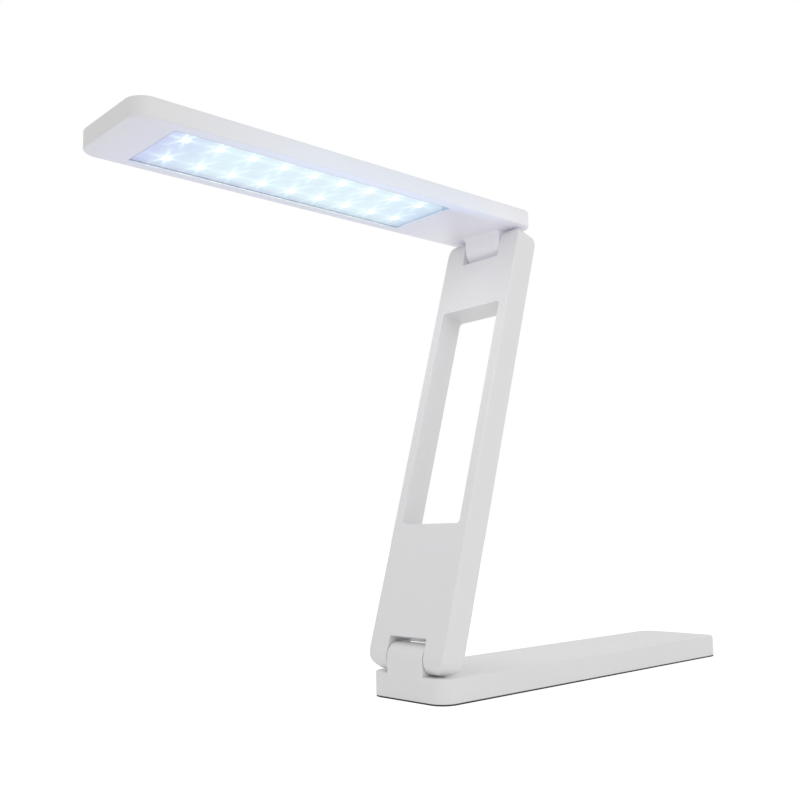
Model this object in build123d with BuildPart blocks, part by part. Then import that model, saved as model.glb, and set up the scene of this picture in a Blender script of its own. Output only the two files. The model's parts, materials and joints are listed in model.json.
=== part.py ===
"""Folding LED desk lamp: a base, an arm with an open window and a head, joined by two friction hinges.

Units are millimetres and degrees. +X runs along the base from its hinge end to its free end, +Y runs
across the lamp and +Z is up. The origin is the centre of the face that the lamp rests on. The lamp is
modelled open: the arm leans back over the base and the head is level, pointing to -X.
"""

import os
from math import cos, radians, sin

from build123d import *

os.makedirs("parts", exist_ok=True)

# ---------------------------------------------------------------------------------------------------
# Driving dimensions
# ---------------------------------------------------------------------------------------------------

# The three leaves and how they stand
body_width = 45.0
corner_radius = 7.3
base_length = 203.0
base_thickness = 9.8
arm_length = 203.0
arm_width = 45.4
arm_thickness = 12.2
arm_lean = 16.8
head_length = 200.4
head_thickness = 7.5
fold_gap = 0.3

# Edges
edge_radius = 0.7
base_foot_radius = 0.3
arm_edge_radius = 1.0
arm_corner_radius = 8.0
rim_radius = 0.3
window_back_radius = 0.7
knuckle_edge_radius = 0.25

# Walls and fits
wall = 1.6
rim_width = 1.1
cover_clearance = 0.1
running_clearance = 0.05

# Arm window, hinge slots and knuckles
window_width = 35.3
window_bottom = 55.2
window_end = 33.2
window_corner = 1.5
knuckle_width = 21.4
knuckle_side_gap = 0.4
slot_corner = 0.8
lower_slot_depth = 7.15
upper_slot_depth = 8.55
base_knuckle_foot = 1.2
head_knuckle_foot = 2.2

# Hinge pins, sleeves, clips and washers
pin_radius = 2.5
pin_in_ear = 8.0
pin_in_knuckle = 7.9
sleeve_bore_radius = 1.5
sleeve_in_ear = 5.1
sleeve_in_knuckle = 6.7
clip_length = 8.0
clip_thickness = 0.8
clip_mouth = 1.6
clip_key_width = 1.0
clip_key_height = 0.8
washer_radius = 4.8
washer_thickness = 0.2
stop_lug_radius = 0.7
stop_lug_length = 1.1
stop_circle_radius = 4.0
stop_groove_gap = 0.25
stop_play = 4.0
hinge_opening = 90.0

# Leads
lead_radius = 0.55
lead_spacing = 1.3
lead_channel_width = 2.3
lead_chamber_width = 3.0
lead_chamber_start = -0.5
lead_joint_gap = 0.3

# Screws
screw_shank_radius = 0.9
screw_head_radius = 1.8
screw_length = 5.0
screw_inset = 13.5
boss_radius = 2.4

# Base: cover, mat and what the base holds
base_cover_thickness = 1.5
mat_thickness = 0.6
mat_inset = 0.25
side_lane = 2.4
ballast_length = 62.0
ballast_height = 5.0
ballast_middle = 35.0
cell_length = 60.0
cell_width = 34.0
cell_height = 5.0
cell_middle = -34.0
cell_edge = 1.6
board_thickness = 1.0
charge_board_length = 22.0
charge_board_width = 30.0
charge_board_lift = 1.1
port_width = 7.5
port_height = 2.6
port_depth = 5.5
port_wall = 0.35
port_recess = 0.3
port_opening_gap = 0.3

# Arm back cover
arm_cover_thickness = 1.5
arm_cover_end = 3.0
rib_thickness = 1.2

# Head: top cover, lens, lights and the switch
head_cover_thickness = 1.2
lens_width = 35.2
lens_start = 50.4
lens_end = 17.6
lens_corner = 1.0
lens_flange = 1.2
lens_flange_height = 0.8
led_length = 3.5
led_width = 2.8
led_height = 0.7
led_gap = 0.1
led_columns = 9
led_pitch = 14.1
led_row_spacing = 19.2
led_row_shift = 3.0
led_board_margin = 1.5
led_board_gap = 0.3
control_board_length = 30.0
control_board_width = 30.0
control_board_start = 14.0
control_board_lift = 0.6
chip_height = 1.2
button_radius = 5.5
button_from_end = 29.0
button_proud = 0.8
button_travel = 0.5
button_flange = 1.0
button_flange_thickness = 0.8
switch_size = 5.2
switch_height = 1.5
plunger_radius = 1.4
plunger_proud = 0.4

# ---------------------------------------------------------------------------------------------------
# Places worked out from the driving dimensions
# ---------------------------------------------------------------------------------------------------

hinge_radius = arm_thickness / 2
half_width = body_width / 2
half_knuckle = knuckle_width / 2
ear_face = half_knuckle + knuckle_side_gap
half_base = base_length / 2

base_floor = mat_thickness
base_top = base_floor + base_thickness
base_ceiling = base_top - wall
base_cover_top = base_floor + base_cover_thickness

lean = radians(arm_lean)
arm_up = Vector(sin(lean), 0, cos(lean))
arm_back = Vector(cos(lean), 0, -sin(lean))
pivot_span = arm_length - 2 * hinge_radius
# The window's upper edge is given by its distance from the upper hinge's axis
window_top = pivot_span - window_end
lower_axis = Vector(-half_base + hinge_radius, 0, base_top + fold_gap + hinge_radius)
upper_axis = lower_axis + arm_up * pivot_span

head_end = upper_axis.X + hinge_radius
head_under = upper_axis.Z + hinge_radius + fold_gap
head_top = head_under + head_thickness
head_floor = head_under + wall
head_ceiling = head_top - head_cover_thickness
head_middle = head_end - head_length / 2
lens_length = head_length - lens_start - lens_end
lens_middle = head_end - lens_start - lens_length / 2

# Front view of the arm: local x runs across the lamp and local y runs up the arm from the lower axis
arm_mid = Plane(origin=lower_axis, x_dir=(0, 1, 0), z_dir=arm_back)
# Side view of the arm: local x points to the arm's back and local y runs up the arm
arm_side = Plane(origin=lower_axis, x_dir=arm_back, z_dir=(0, -1, 0))
arm_cover_floor = hinge_radius - arm_cover_thickness
arm_front_wall = -hinge_radius + wall

pin_bore_radius = pin_radius + running_clearance
clip_radius = pin_bore_radius + clip_thickness
clip_pocket_radius = clip_radius + running_clearance
sleeve_start = half_knuckle - sleeve_in_knuckle
sleeve_end = ear_face + sleeve_in_ear
lead_y = half_width - wall - lead_channel_width / 2
lead_chamber_end = sleeve_start - running_clearance
lead_chamber_y = (lead_chamber_start + lead_chamber_end) / 2
lead_pair = (-lead_spacing / 2, lead_spacing / 2)
pilot_radius = screw_shank_radius + running_clearance
stop_depth = stop_lug_length + stop_groove_gap
# Where each hinge's stop lug points on the arm, and the angle at which its groove starts
stop_lug = Vector(stop_circle_radius * sin(lean), -stop_circle_radius * cos(lean))
lower_stop_start = -hinge_opening - stop_play
upper_stop_start = 180 - hinge_opening - stop_play

base_screw_places = [(x, y) for x in (-half_base + screw_inset, half_base - screw_inset)
                     for y in (-half_width + wall + boss_radius + running_clearance,
                               half_width - wall - boss_radius - running_clearance)]
arm_screw_levels = ((lower_slot_depth + window_bottom) / 2,
                    (window_top + pivot_span - upper_slot_depth) / 2)
arm_screw_places = [(y, u) for u in arm_screw_levels for y in (-screw_inset, screw_inset)]


# ---------------------------------------------------------------------------------------------------
# Shapes that more than one piece shares
# ---------------------------------------------------------------------------------------------------

def save(builder, name):
    """Label a finished piece and write it."""
    builder.part.label = name
    export_step(builder.part, f"parts/{name}.step")


def level(x, z):
    """Level plane with its origin on the lamp's middle plane."""
    return Plane(origin=(x, 0, z))


def across(axis, y):
    """Plane square to a hinge axis at a distance y along it. Local x is +X and local y is down."""
    return Plane(origin=(axis.X, y, axis.Z), x_dir=(1, 0, 0), z_dir=(0, 1, 0))


def on(plane, places):
    """Locations at points of a plane, turned to the plane's normal."""
    return Locations(*[plane * Location((x, y, 0)) for x, y in places])


def block(x, y, z, length, width, height, mode=Mode.ADD):
    """Upright block from the middle of its lower face."""
    with BuildSketch(level(x, z)) as outline:
        with Locations((0, y)):
            Rectangle(length, width)
    extrude(outline.sketch, amount=height, mode=mode)


def bar(axis, radius, start, end, mode=Mode.ADD):
    """Round bar or bore along a hinge axis, between two distances across the lamp."""
    with BuildSketch(across(axis, start)) as outline:
        Circle(radius)
    extrude(outline.sketch, amount=end - start, mode=mode)


def leaf(length, thickness, x_middle, bottom, bottom_radius):
    """Flat leaf with round corners in plan and softened edges above and below."""
    with BuildSketch(level(x_middle, bottom)) as outline:
        RectangleRounded(length, body_width, corner_radius)
    extrude(outline.sketch, amount=thickness)
    levels = faces().sort_by(Axis.Z)
    fillet(levels[-1].edges(), edge_radius)
    fillet(faces().sort_by(Axis.Z)[0].edges(), bottom_radius)


def pocket(length, x_middle, bottom, height, inset, mode=Mode.SUBTRACT):
    """Space or plate with a leaf's plan outline, drawn in by an inset all round."""
    with BuildSketch(level(x_middle, bottom)) as outline:
        RectangleRounded(length - 2 * inset, body_width - 2 * inset, corner_radius - inset)
    extrude(outline.sketch, amount=height, mode=mode)


def knuckle(axis, face_z, foot, foot_side):
    """Round lug from a leaf's face to the hinge axis, with a concave foot and softened side edges."""
    downward = 1 if face_z < axis.Z else -1
    height = abs(face_z - axis.Z)
    with BuildSketch(across(axis, -half_knuckle)) as outline:
        Circle(hinge_radius)
        with Locations((0, downward * (height + wall) / 2)):
            Rectangle(2 * hinge_radius, height + wall)
        with Locations((foot_side * (hinge_radius + foot), downward * (height + wall / 2 - foot / 2))):
            Rectangle(2 * foot, foot + wall)
        with Locations((foot_side * (hinge_radius + foot), downward * (height - foot))):
            Circle(foot, mode=Mode.SUBTRACT)
        with Locations((foot_side * (hinge_radius + 1.5 * foot), downward * (height - foot / 2))):
            Rectangle(foot, foot, mode=Mode.SUBTRACT)
    lug = extrude(outline.sketch, amount=knuckle_width, mode=Mode.PRIVATE)
    sides = lug.faces().sort_by(Axis.Y)
    add(lug.fillet(knuckle_edge_radius, sides[0].edges() + sides[-1].edges()))


def knuckle_bores(axis, cavity_z):
    """Clip pocket with its keyway, sleeve bore and the lead chamber that opens into the leaf."""
    pocket_end = -half_knuckle + clip_length + 2 * cover_clearance
    bar(axis, clip_pocket_radius, -half_knuckle, pocket_end, Mode.SUBTRACT)
    key_width = clip_key_width + 2 * running_clearance
    key_reach = clip_radius + clip_key_height + running_clearance
    with BuildSketch(across(axis, -half_knuckle)) as outline:
        with Locations((key_reach / 2, 0)):
            Rectangle(key_reach, key_width)
    extrude(outline.sketch, amount=pocket_end + half_knuckle, mode=Mode.SUBTRACT)
    bar(axis, pin_bore_radius, lead_chamber_start, half_knuckle, Mode.SUBTRACT)
    low = min(axis.Z, cavity_z) - (sleeve_bore_radius if cavity_z > axis.Z else 0)
    high = max(axis.Z, cavity_z) + (sleeve_bore_radius if cavity_z < axis.Z else 0)
    block(axis.X, lead_chamber_y, low, lead_chamber_width, lead_chamber_end - lead_chamber_start,
          high - low, Mode.SUBTRACT)


def stop_groove(axis, start):
    """Arc groove in the knuckle's side that lets a stop lug turn from folded to fully open."""
    path = CenterArc((0, 0), stop_circle_radius, start, hinge_opening + 2 * stop_play)
    with BuildSketch(across(axis, half_knuckle - stop_depth)) as outline:
        SlotArc(path, 2 * (stop_lug_radius + stop_groove_gap))
    extrude(outline.sketch, amount=stop_depth, mode=Mode.SUBTRACT)


def friction_clip(axis):
    """Rolled spring clip round the solid pin, keyed into the knuckle."""
    with BuildSketch(across(axis, -half_knuckle + cover_clearance)) as outline:
        Circle(clip_radius)
        with Locations((clip_radius + clip_key_height / 2 - clip_thickness / 4, 0)):
            Rectangle(clip_key_height + clip_thickness / 2, clip_key_width)
        Circle(pin_bore_radius, mode=Mode.SUBTRACT)
        with Locations((-clip_radius, 0)):
            Rectangle(2 * clip_thickness + clip_mouth, clip_mouth, mode=Mode.SUBTRACT)
    extrude(outline.sketch, amount=clip_length)


def washer(axis, side):
    """Thin friction washer in the gap between the knuckle and one ear."""
    inner_face = half_knuckle + (knuckle_side_gap - washer_thickness) / 2
    start = inner_face if side > 0 else -inner_face - washer_thickness
    with BuildSketch(across(axis, start)) as outline:
        Circle(washer_radius)
        Circle(pin_bore_radius, mode=Mode.SUBTRACT)
    extrude(outline.sketch, amount=washer_thickness)


def wire(points):
    """Round insulated wire along straight runs, mitred at its turns."""
    with BuildLine() as route:
        Polyline(*points)
    with BuildSketch(Plane(origin=route.line @ 0, z_dir=route.line % 0)) as outline:
        Circle(lead_radius)
    sweep(outline.sketch, path=route.line, transition=Transition.RIGHT)


def countersunk_screws(mouth, places):
    """Countersunk screws with their heads flush with the mouth plane."""
    inward = (Align.CENTER, Align.CENTER, Align.MAX)
    with on(mouth, places):
        Cylinder(screw_shank_radius, screw_length, align=inward)
        Cone(screw_shank_radius, screw_head_radius, screw_head_radius - screw_shank_radius, align=inward)


def arm_cover_outline(inset):
    """Front view of the arm's back cover, drawn in from the arm's outline and window."""
    middle = (0, pivot_span / 2)
    with Locations(middle):
        RectangleRounded(arm_width - 2 * inset, arm_length - 2 * inset, arm_corner_radius - inset)
        Rectangle(arm_width, pivot_span + 2 * arm_cover_end, mode=Mode.INTERSECT)
    arm_openings(inset)


def arm_openings(window_margin):
    """The window and the two hinge slots, cut from a front view of the arm."""
    with Locations((0, (window_bottom + window_top) / 2)):
        RectangleRounded(window_width + 2 * window_margin, window_top - window_bottom + 2 * window_margin,
                         window_corner + window_margin, mode=Mode.SUBTRACT)
    for end, depth, inward in ((0, lower_slot_depth, 1), (pivot_span, upper_slot_depth, -1)):
        reach = depth + hinge_radius + fold_gap + slot_corner
        with Locations((0, end + inward * (depth - reach / 2))):
            RectangleRounded(2 * ear_face, reach, slot_corner, mode=Mode.SUBTRACT)


# ---------------------------------------------------------------------------------------------------
# Base
# ---------------------------------------------------------------------------------------------------

with BuildPart() as base_housing:
    leaf(base_length, base_thickness, 0, base_floor, base_foot_radius)
    knuckle(lower_axis, base_top, base_knuckle_foot, 1)
    pocket(base_length, 0, base_floor, base_cover_thickness, rim_width)
    pocket(base_length, 0, base_cover_top, base_ceiling - base_cover_top, wall)
    for x, y in base_screw_places:
        with BuildSketch(level(x, base_cover_top)):
            with Locations((0, y)):
                Circle(boss_radius)
                Circle(pilot_radius, mode=Mode.SUBTRACT)
        extrude(amount=base_ceiling - base_cover_top)
    knuckle_bores(lower_axis, base_ceiling - running_clearance)
    port_floor = base_cover_top + charge_board_lift + board_thickness
    with BuildSketch(Plane.YZ.offset(half_base - 2 * wall)):
        with Locations((0, port_floor + port_height / 2)):
            RectangleRounded(port_width + 2 * port_opening_gap, port_height + 2 * port_opening_gap,
                             port_opening_gap + port_wall)
    extrude(amount=3 * wall, mode=Mode.SUBTRACT)
    stop_groove(lower_axis, lower_stop_start)
save(base_housing, "base_housing")

with BuildPart() as base_cover:
    pocket(base_length, 0, base_floor, base_cover_thickness, rim_width + cover_clearance, Mode.ADD)
    with on(Plane(origin=(0, 0, base_floor), x_dir=(1, 0, 0), z_dir=(0, 0, -1)), base_screw_places):
        CounterSinkHole(pilot_radius, screw_head_radius + running_clearance, counter_sink_angle=90)
    for y in (-charge_board_width / 3, charge_board_width / 3):
        block(half_base - wall - charge_board_length / 2, y, base_cover_top, charge_board_length - 4,
              rib_thickness, charge_board_lift)
save(base_cover, "base_cover")

with BuildPart() as base_screws:
    countersunk_screws(Plane(origin=(0, 0, base_floor), x_dir=(1, 0, 0), z_dir=(0, 0, -1)),
                       base_screw_places)
save(base_screws, "base_screws")

with BuildPart() as base_mat:
    pocket(base_length, 0, 0, mat_thickness, mat_inset, Mode.ADD)
save(base_mat, "base_mat")

with BuildPart() as ballast:
    ballast_width = body_width - 2 * (wall + side_lane)
    block(ballast_middle, 0, base_cover_top, ballast_length, ballast_width, ballast_height)
    chamfer(ballast.edges().filter_by(Axis.Z), 2)
save(ballast, "ballast")

with BuildPart() as battery:
    block(cell_middle, 0, base_cover_top, cell_length, cell_width, cell_height)
    fillet(battery.edges().filter_by(Axis.X), cell_edge)
    block(cell_middle - cell_length / 2 - 1, 0, base_cover_top, 2, cell_width - 4 * cell_edge, cell_edge)
save(battery, "battery")

with BuildPart() as charge_board:
    board_middle = half_base - wall - cover_clearance - charge_board_length / 2
    board_z = base_cover_top + charge_board_lift
    block(board_middle, 0, board_z, charge_board_length, charge_board_width, board_thickness)
    for x, y, length, width in ((-5, 6, 5, 4), (-5, -7, 6.5, 6.5), (3, 10, 3, 6), (4, -10, 2, 3)):
        block(board_middle + x, y, board_z + board_thickness, length, width, chip_height)
save(charge_board, "charge_board")

with BuildPart() as charge_port:
    port_mouth = half_base - port_recess
    with BuildSketch(Plane.YZ.offset(port_mouth - port_depth)):
        with Locations((0, port_floor + port_height / 2)):
            Rectangle(port_width, port_height)
    extrude(amount=port_depth)
    with BuildSketch(Plane.YZ.offset(port_mouth - port_depth + 2 * port_wall)):
        with Locations((0, port_floor + port_height / 2)):
            Rectangle(port_width - 2 * port_wall, port_height - 2 * port_wall)
            with Locations((0, port_wall)):
                Rectangle(port_width / 2, 2 * port_wall, mode=Mode.SUBTRACT)
    extrude(amount=port_depth, mode=Mode.SUBTRACT)
save(charge_port, "charge_port")

with BuildPart() as base_leads:
    lead_z = (base_cover_top + base_ceiling) / 2
    side_y = half_width - wall - 2 * lead_radius
    for offset in lead_pair:
        wire([(board_middle - charge_board_length / 2 + 2, 2, lead_z + offset),
              (ballast_middle + ballast_length / 2 + 4, side_y, lead_z + offset),
              (cell_middle - cell_length / 2 - 6, side_y, lead_z + offset),
              (lower_axis.X + 4 * hinge_radius, lead_chamber_y, lead_z + offset),
              (lower_axis.X + offset, lead_chamber_y, lead_z + offset),
              (lower_axis.X + offset, lead_chamber_y, lower_axis.Z),
              (lower_axis.X + offset, ear_face - lead_joint_gap, lower_axis.Z)])
save(base_leads, "base_leads")

with BuildPart() as lower_friction_clip:
    friction_clip(lower_axis)
save(lower_friction_clip, "lower_friction_clip")

# ---------------------------------------------------------------------------------------------------
# Arm
# ---------------------------------------------------------------------------------------------------

with BuildPart() as arm_blank:
    with BuildSketch(arm_mid.offset(-hinge_radius)):
        with Locations((0, pivot_span / 2)):
            RectangleRounded(arm_width, arm_length, arm_corner_radius)
    extrude(amount=arm_thickness)
    ends = faces().sort_by(Axis(lower_axis, arm_back))
    fillet(ends[0].edges() + ends[-1].edges(), arm_edge_radius)
    with BuildSketch(arm_side):
        with Locations((0, pivot_span / 2)):
            SlotOverall(arm_length, arm_thickness, rotation=90)
    extrude(amount=arm_width, both=True, mode=Mode.INTERSECT)
    with BuildSketch(arm_mid.offset(-arm_thickness)):
        with Locations((0, pivot_span / 2)):
            Rectangle(arm_width + arm_thickness, arm_length + arm_thickness)
        arm_openings(0)
    extrude(amount=2 * arm_thickness, mode=Mode.INTERSECT)
    # Soften the window's and the slots' rims
    through = Axis(lower_axis, arm_back)
    fillet(faces().sort_by(through)[0].inner_wires().edges(), rim_radius)
    fillet(faces().sort_by(through)[-1].inner_wires().edges(), window_back_radius)
    rims = [edge for edge in edges().filter_by(through, reverse=True)
            if max(abs(point.Y) for point in (edge @ 0, edge @ 1)) < ear_face + running_clearance]
    fillet(rims, rim_radius)

with BuildPart() as arm_housing:
    add(arm_blank.part)
    with BuildSketch(arm_mid.offset(arm_cover_floor)):
        arm_cover_outline(rim_width)
    extrude(amount=arm_thickness, mode=Mode.SUBTRACT)
    # Hollow webs above and below the window, each with two ribs and two screw bosses
    webs = ((lower_slot_depth, window_bottom), (window_top, pivot_span - upper_slot_depth))
    for web_start, web_end in webs:
        web_middle = (web_start + web_end) / 2
        with BuildSketch(arm_mid.offset(arm_front_wall)):
            with Locations((0, web_middle)):
                Rectangle(window_width, web_end - web_start - 2 * wall)
                Rectangle(rib_thickness, web_end - web_start, mode=Mode.SUBTRACT)
                Rectangle(window_width, rib_thickness, mode=Mode.SUBTRACT)
                with Locations((-screw_inset, 0), (screw_inset, 0)):
                    Circle(boss_radius, mode=Mode.SUBTRACT)
        extrude(amount=arm_cover_floor - arm_front_wall, mode=Mode.SUBTRACT)
    with BuildSketch(arm_mid.offset(arm_cover_floor)):
        with Locations(*arm_screw_places):
            Circle(pilot_radius)
    extrude(amount=-screw_length, mode=Mode.SUBTRACT)
    # Saddles for the pins and sleeves, open to the back, and the channel for the leads
    for axis in (lower_axis, upper_axis):
        bar(axis, pin_bore_radius, -ear_face - pin_in_ear, -ear_face, Mode.SUBTRACT)
        bar(axis, pin_bore_radius, ear_face, sleeve_end, Mode.SUBTRACT)
    with BuildSketch(arm_mid):
        for u in (0, pivot_span):
            with Locations((-ear_face - pin_in_ear / 2, u)):
                Rectangle(pin_in_ear, 2 * pin_bore_radius)
            with Locations(((ear_face + sleeve_end) / 2, u)):
                Rectangle(sleeve_in_ear, 2 * pin_bore_radius)
    extrude(amount=arm_cover_floor, mode=Mode.SUBTRACT)
    with BuildSketch(arm_mid.offset(-lead_chamber_width / 2)):
        with Locations((lead_y, pivot_span / 2)):
            Rectangle(lead_channel_width, pivot_span + lead_chamber_width)
        for u in (0, pivot_span):
            with Locations(((sleeve_end + lead_y) / 2, u)):
                Rectangle(lead_y - sleeve_end, lead_chamber_width)
    extrude(amount=arm_cover_floor + lead_chamber_width / 2, mode=Mode.SUBTRACT)
    # Holes that key the stop washers to the ears
    for axis, lug in ((lower_axis, stop_lug), (upper_axis, -stop_lug)):
        with BuildSketch(across(axis, ear_face)):
            with Locations(lug):
                Circle(stop_lug_radius + running_clearance)
        extrude(amount=stop_lug_length, mode=Mode.SUBTRACT)
save(arm_housing, "arm_housing")

with BuildPart() as arm_cover:
    with BuildSketch(arm_mid.offset(arm_cover_floor)):
        arm_cover_outline(rim_width + cover_clearance)
    extrude(amount=arm_cover_thickness)
    # Saddle blocks that hold the pins and sleeves down
    with BuildSketch(arm_mid):
        for u in (0, pivot_span):
            with Locations((-ear_face - pin_in_ear / 2, u)):
                Rectangle(pin_in_ear - 2 * cover_clearance, 2 * (pin_bore_radius - cover_clearance))
            with Locations(((ear_face + sleeve_end) / 2, u)):
                Rectangle(sleeve_in_ear - 2 * cover_clearance, 2 * (pin_bore_radius - cover_clearance))
    extrude(amount=arm_cover_floor)
    add(arm_blank.part, mode=Mode.INTERSECT)
    for axis in (lower_axis, upper_axis):
        bar(axis, pin_bore_radius, -half_width, half_width, Mode.SUBTRACT)
    with on(arm_mid.offset(hinge_radius), arm_screw_places):
        CounterSinkHole(pilot_radius, screw_head_radius + running_clearance, counter_sink_angle=90)
save(arm_cover, "arm_cover")

with BuildPart() as arm_screws:
    countersunk_screws(arm_mid.offset(hinge_radius), arm_screw_places)
save(arm_screws, "arm_screws")

for name, axis, lug in (("lower", lower_axis, stop_lug), ("upper", upper_axis, -stop_lug)):
    with BuildPart() as pin:
        bar(axis, pin_radius, -ear_face - pin_in_ear + cover_clearance, -half_knuckle + pin_in_knuckle)
        chamfer(pin.edges().filter_by(GeomType.CIRCLE), 2 * cover_clearance)
    save(pin, f"{name}_pin")
    with BuildPart() as sleeve:
        bar(axis, pin_radius, sleeve_start, sleeve_end - cover_clearance)
        bar(axis, sleeve_bore_radius, sleeve_start, sleeve_end, Mode.SUBTRACT)
    save(sleeve, f"{name}_sleeve")
    with BuildPart() as plain_washer:
        washer(axis, -1)
    save(plain_washer, f"{name}_washer")
    with BuildPart() as stop_washer:
        washer(axis, 1)
        lug_reach = stop_lug_length - cover_clearance
        with BuildSketch(across(axis, half_knuckle - lug_reach)):
            with Locations(lug):
                Circle(stop_lug_radius)
        extrude(amount=knuckle_side_gap + 2 * lug_reach)
    save(stop_washer, f"{name}_stop_washer")

with BuildPart() as arm_leads:
    for offset in lead_pair:
        near = lower_axis + arm_back * offset
        far = upper_axis + arm_back * offset
        wire([(near.X, ear_face, near.Z), (near.X, lead_y, near.Z),
              (far.X, lead_y, far.Z), (far.X, ear_face, far.Z)])
save(arm_leads, "arm_leads")

# ---------------------------------------------------------------------------------------------------
# Head
# ---------------------------------------------------------------------------------------------------

lens_seat = head_floor + lens_flange_height
led_top = lens_seat + led_gap + led_height
led_board_length = lens_length + 2 * (lens_flange + led_board_margin)
shoulder_y = lens_width / 2 + lens_flange + cover_clearance

with BuildPart() as head_housing:
    leaf(head_length, head_thickness, head_middle, head_under, edge_radius)
    knuckle(upper_axis, head_under, head_knuckle_foot, -1)
    pocket(head_length, head_middle, head_ceiling, head_cover_thickness, rim_width)
    pocket(head_length, head_middle, head_floor, head_ceiling - head_floor, wall)
    # Shoulders along the side walls that carry the light board over the lens
    shoulder_width = half_width - wall - shoulder_y
    for side in (-1, 1):
        block(lens_middle, side * (shoulder_y + shoulder_width / 2), head_floor, led_board_length,
              shoulder_width, led_top - head_floor)
    for y in (-control_board_width / 3, control_board_width / 3):
        block(head_end - control_board_start - control_board_length / 2, y, head_floor,
              control_board_length - 4, rib_thickness, control_board_lift)
    with BuildSketch(level(lens_middle, head_under)):
        RectangleRounded(lens_length + 2 * cover_clearance, lens_width + 2 * cover_clearance, lens_corner)
    extrude(amount=wall, mode=Mode.SUBTRACT)
    knuckle_bores(upper_axis, head_floor + running_clearance)
    stop_groove(upper_axis, upper_stop_start)
save(head_housing, "head_housing")

with BuildPart() as head_cover:
    cover_inset = rim_width + cover_clearance
    pocket(head_length, head_middle, head_ceiling, head_cover_thickness, cover_inset, Mode.ADD)
    with BuildSketch(level(head_end - button_from_end, head_ceiling)):
        Circle(button_radius + cover_clearance)
    extrude(amount=head_cover_thickness, mode=Mode.SUBTRACT)
    # Snap tabs along the side walls
    for x in (-head_length / 3, 0, head_length / 3):
        for side in (-1, 1):
            block(head_middle + x, side * (half_width - wall - cover_clearance - rib_thickness / 2),
                  head_ceiling - wall, 3 * rib_thickness, rib_thickness, wall)
save(head_cover, "head_cover")

with BuildPart() as lens:
    with BuildSketch(level(lens_middle, head_under)):
        RectangleRounded(lens_length, lens_width, lens_corner)
    extrude(amount=wall)
    with BuildSketch(level(lens_middle, head_floor)):
        RectangleRounded(lens_length + 2 * lens_flange, lens_width + 2 * lens_flange, lens_corner)
    extrude(amount=lens_flange_height)
save(lens, "lens")

with BuildPart() as led_board:
    led_board_width = body_width - 2 * (wall + led_board_gap)
    block(lens_middle, 0, led_top, led_board_length, led_board_width, board_thickness)
save(led_board, "led_board")

with BuildPart() as leds:
    for row in (-1, 1):
        with BuildSketch(level(lens_middle + row * led_row_shift / 2, led_top - led_height)):
            with Locations((0, row * led_row_spacing / 2)):
                with GridLocations(led_pitch, 0, led_columns, 1):
                    Rectangle(led_length, led_width)
        extrude(amount=led_height)
save(leds, "leds")

board_x = head_end - control_board_start - control_board_length / 2
control_z = head_floor + control_board_lift
switch_x = head_end - button_from_end
switch_z = control_z + board_thickness

with BuildPart() as control_board:
    block(board_x, 0, control_z, control_board_length, control_board_width, board_thickness)
    for x, y, length, width in ((8, 9, 5, 4), (9, -8, 4, 4), (-9, -9, 3, 5), (-8, 10, 2, 4)):
        block(board_x + x, y, switch_z, length, width, chip_height)
save(control_board, "control_board")

with BuildPart() as switch_body:
    block(switch_x, 0, switch_z, switch_size, switch_size, switch_height)
    with BuildSketch(level(switch_x, switch_z + cover_clearance)):
        Circle(plunger_radius + running_clearance)
    extrude(amount=switch_height, mode=Mode.SUBTRACT)
save(switch_body, "switch_body")

plunger_top = switch_z + switch_height + plunger_proud
with BuildPart() as switch_plunger:
    with BuildSketch(level(switch_x, switch_z + 2 * cover_clearance + button_travel)):
        Circle(plunger_radius)
    extrude(amount=plunger_top - switch_z - 2 * cover_clearance - button_travel)
save(switch_plunger, "switch_plunger")

with BuildPart() as power_button:
    flange_z = head_ceiling - cover_clearance - button_flange_thickness
    with BuildSketch(level(switch_x, flange_z)):
        Circle(button_radius + button_flange)
    extrude(amount=button_flange_thickness)
    with BuildSketch(level(switch_x, flange_z)):
        Circle(button_radius)
    extrude(amount=head_top + button_proud - flange_z)
    chamfer(power_button.edges().sort_by(Axis.Z)[-1], edge_radius / 2)
    with BuildSketch(level(switch_x, plunger_top)):
        Circle(plunger_radius)
    extrude(amount=flange_z - plunger_top)
save(power_button, "power_button")

with BuildPart() as head_leads:
    head_lead_z = (head_floor + head_ceiling) / 2
    head_lead_end = board_x + control_board_length / 2 + 2 * cover_clearance
    for offset in lead_pair:
        wire([(upper_axis.X + offset, ear_face - lead_joint_gap, upper_axis.Z),
              (upper_axis.X + offset, lead_chamber_y, upper_axis.Z),
              (upper_axis.X + offset, lead_chamber_y, head_lead_z + offset),
              (head_lead_end, lead_chamber_y, head_lead_z + offset)])
save(head_leads, "head_leads")

with BuildPart() as upper_friction_clip:
    friction_clip(upper_axis)
save(upper_friction_clip, "upper_friction_clip")
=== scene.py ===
"""Looks of a folding LED desk lamp, standing open on a white studio floor.

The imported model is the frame. Lengths are in metres and angles in degrees, +Z is up, and the lamp rests on
the level z = 0. The base runs along X with its hinge end at -X, and the head points to -X.
"""

import json
import logging
import math
from dataclasses import dataclass
from enum import Enum

import bmesh
import bpy
from mathutils import Matrix, Vector


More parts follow.
